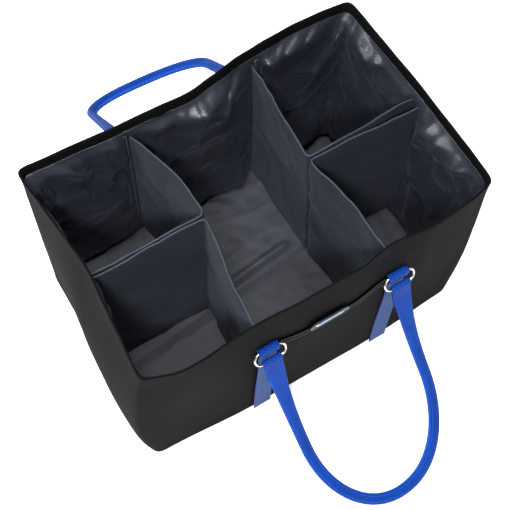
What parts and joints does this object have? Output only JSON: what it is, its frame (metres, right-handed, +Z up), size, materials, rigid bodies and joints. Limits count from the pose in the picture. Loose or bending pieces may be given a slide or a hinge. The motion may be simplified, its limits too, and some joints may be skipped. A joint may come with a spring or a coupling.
{
  "type": "cleaning caddy tote",
  "caption": "Open-top soft fabric caddy tote with a divided insert, a front slip pocket and two webbing handles on oval rings.",
  "frame": {"origin": "middle of the underside, on the surface the caddy stands on", "axes": "+X along the long side, +Z up, front wall with pocket and badge towards -Y"},
  "size_m": [0.45, 0.7029, 0.3001],
  "materials": {
    "shell": "matte fine weave",
    "lining": "satin slate grey",
    "board": "matte",
    "webbing": "royal blue webbing",
    "nickel": "polished nickel",
    "badge": "satin",
    "badge_strip": "pearl blue-silver"
  },
  "bodies": {
    "caddy": {"bottom_panel": "shell", "front_panel": "shell", "rear_panel": "shell", "left_end_panel": "shell", "right_end_panel": "shell", "rim_facing": "shell", "lining_floor": "lining", "lining_front": "lining", "lining_rear": "lining", "lining_left": "lining", "lining_right": "lining", "floor_board_front": "board", "floor_board_rear": "board", "floor_cover": "lining", "left_front_divider_cover": "lining", "left_front_divider_board": "board", "left_front_cross_board": "board", "left_rear_divider_cover": "lining", "left_rear_divider_board": "board", "left_rear_cross_board": "board", "right_front_divider_cover": "lining", "right_front_divider_board": "board", "right_front_cross_board": "board", "right_rear_divider_cover": "lining", "right_rear_divider_board": "board", "right_rear_cross_board": "board", "front_left_strap": "webbing", "front_right_strap": "webbing", "rear_left_strap": "webbing", "rear_right_strap": "webbing", "front_pocket_panel": "shell", "badge_plate": "badge", "badge_strip": "badge_strip"},
    "front_left_ring": {"front_left_ring": "nickel"},
    "front_right_ring": {"front_right_ring": "nickel"},
    "front_handle": {"front_handle": "webbing"},
    "rear_left_ring": {"rear_left_ring": "nickel"},
    "rear_right_ring": {"rear_right_ring": "nickel"},
    "rear_handle": {"rear_handle": "webbing"}
  },
  "joints": [
    {"name": "front_right_ring_swing", "type": "hinge", "parent": "caddy", "child": "front_right_ring", "pos_m": [0.105, -0.16111, 0.206], "axis": [-1, 0, 0], "range_deg": [0, 118]},
    {"name": "front_left_ring_swing", "type": "hinge", "parent": "caddy", "child": "front_left_ring", "pos_m": [-0.074, -0.16111, 0.206], "axis": [-1, 0, 0], "range_deg": [0, 118]},
    {"name": "front_handle_swing", "type": "hinge", "parent": "front_right_ring", "child": "front_handle", "pos_m": [0.105, -0.17011, 0.19041], "axis": [-1, 0, 0], "range_deg": [0, 13]},
    {"name": "rear_right_ring_swing", "type": "hinge", "parent": "caddy", "child": "rear_right_ring", "pos_m": [0.105, 0.14498, 0.206], "axis": [1, 0, 0], "range_deg": [0, 118]},
    {"name": "rear_left_ring_swing", "type": "hinge", "parent": "caddy", "child": "rear_left_ring", "pos_m": [-0.074, 0.14498, 0.206], "axis": [1, 0, 0], "range_deg": [0, 118]},
    {"name": "rear_handle_swing", "type": "hinge", "parent": "rear_right_ring", "child": "rear_handle", "pos_m": [0.105, 0.15398, 0.19041], "axis": [1, 0, 0], "range_deg": [0, 12]}
  ],
  "couplings": [
    {"joint": "front_left_ring_swing", "follows": "front_right_ring_swing", "ratio": 1},
    {"joint": "rear_left_ring_swing", "follows": "rear_right_ring_swing", "ratio": 1}
  ]
}
